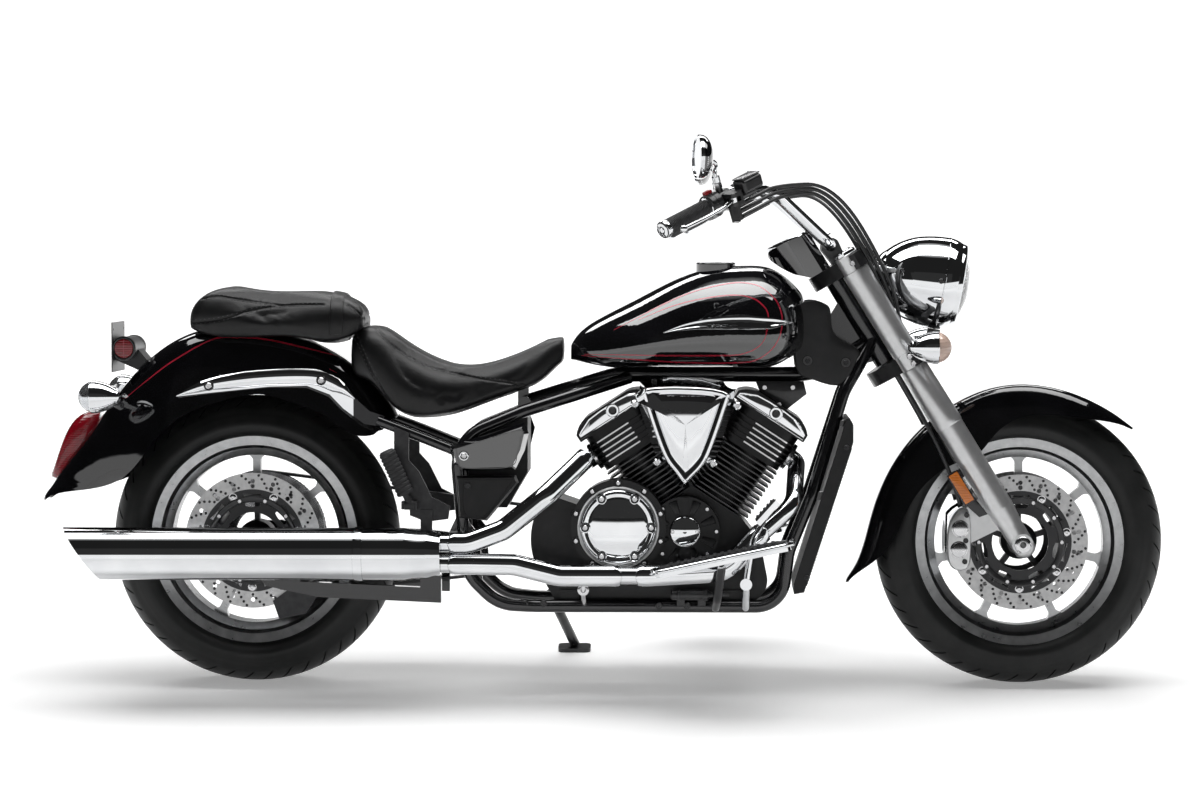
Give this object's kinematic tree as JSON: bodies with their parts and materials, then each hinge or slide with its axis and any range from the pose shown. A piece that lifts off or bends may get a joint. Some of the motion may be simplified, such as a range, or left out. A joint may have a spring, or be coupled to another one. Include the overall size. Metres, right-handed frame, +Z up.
{
  "type": "cruiser motorcycle",
  "caption": "Cruiser motorcycle with a finned vee engine, swept handlebar, padded seats and cast wheels, leaning on its side stand.",
  "frame": {"origin": "on the floor under the middle of the machine's bounding box", "axes": "+X towards the front wheel, +Y to the machine's left, +Z up; the machine leans to +Y on its side stand"},
  "size_m": [2.4812, 0.9636, 1.2549],
  "materials": {
    "tyre": "satin",
    "machined_alloy": "machined",
    "disc_steel": "brushed",
    "bright_alloy": "polished",
    "dark_metal": "satin",
    "satin_alloy": "brushed",
    "black_metal": "satin",
    "chrome": "mirror",
    "grip_rubber": "matte",
    "clear_lens": "clear",
    "black_paint": "gloss",
    "cable_rubber": "satin",
    "frame_black": "gloss",
    "engine_black": "satin black",
    "dark_plastic": "satin",
    "seat_leather": "grained",
    "red_lens": "clear red"
  },
  "bodies": {
    "chassis": {"air_cleaner": "chrome", "battery_box": "dark_plastic", "crankcase": "engine_black", "cylinder_heads": "engine_black", "cylinders": "engine_black", "drive_belt": "cable_rubber", "engine_caps": "chrome", "engine_covers": "engine_black", "exhaust_headers": "chrome", "fender_rails": "chrome", "floorboards": "bright_alloy", "foot_levers": "chrome", "frame_backbone": "frame_black", "frame_cradle_left": "frame_black", "frame_cradle_right": "frame_black", "front_pulley": "dark_metal", "fuel_tank": "black_paint", "lower_covers": "dark_plastic", "muffler": "chrome", "passenger_seat": "seat_leather", "peg_brackets": "bright_alloy", "pivot_bolt": "disc_steel", "radiator": "dark_plastic", "rear_axle": "disc_steel", "rear_caliper": "black_metal", "rear_fender": "black_paint", "rear_signals": "chrome", "rider_seat": "seat_leather", "side_covers": "black_paint", "swingarm": "frame_black", "tail_brackets": "frame_black", "tail_lamp": "red_lens"},
    "steering": {"triple_clamps": "black_metal", "fork_leg_left": "satin_alloy", "fork_leg_right": "satin_alloy", "front_axle": "disc_steel", "handlebar": "chrome", "grips": "grip_rubber", "controls": "black_metal", "levers": "chrome", "mirrors": "chrome", "gauge_pod": "black_metal", "headlamp_shell": "chrome", "headlamp_lens": "clear_lens", "front_signals": "chrome", "front_fender": "black_paint", "front_calipers": "chrome", "control_cables": "cable_rubber"},
    "front_wheel": {"front_wheel": "machined_alloy", "front_tyre": "tyre", "front_discs": "disc_steel"},
    "rear_wheel": {"rear_wheel": "machined_alloy", "rear_tyre": "tyre", "rear_disc": "disc_steel", "rear_pulley": "bright_alloy"},
    "side_stand": {"side_stand": "black_metal"},
    "passenger_peg_right": {"passenger_peg_right": "grip_rubber"},
    "passenger_peg_left": {"passenger_peg_left": "grip_rubber"}
  },
  "joints": [
    {"name": "steering", "type": "hinge", "parent": "chassis", "child": "steering", "pos_m": [0.65149, -0.06564, 0.67289], "axis": [-0.5225, 0.1481, 0.8397], "range_deg": [-34, 34]},
    {"name": "front_wheel_spin", "type": "hinge", "parent": "steering", "child": "front_wheel", "pos_m": [0.92461, -0.12924, 0.31219], "axis": [0, 0.9848, -0.1736], "continuous": true},
    {"name": "rear_wheel_spin", "type": "hinge", "parent": "chassis", "child": "rear_wheel", "pos_m": [-0.76539, -0.1288, 0.31469], "axis": [0, 0.9848, -0.1736], "continuous": true},
    {"name": "side_stand_swing", "type": "hinge", "parent": "chassis", "child": "side_stand", "pos_m": [-0.11139, -0.02142, 0.15203], "axis": [0, 0.9848, -0.1736], "range_deg": [0, 100]},
    {"name": "passenger_peg_right_fold", "type": "hinge", "parent": "chassis", "child": "passenger_peg_right", "pos_m": [-0.40939, -0.29534, 0.42981], "axis": [1, 0, 0], "range_deg": [0, 85]},
    {"name": "passenger_peg_left_fold", "type": "hinge", "parent": "chassis", "child": "passenger_peg_left", "pos_m": [-0.40939, 0.06707, 0.36591], "axis": [-1, 0, 0], "range_deg": [0, 85]}
  ]
}
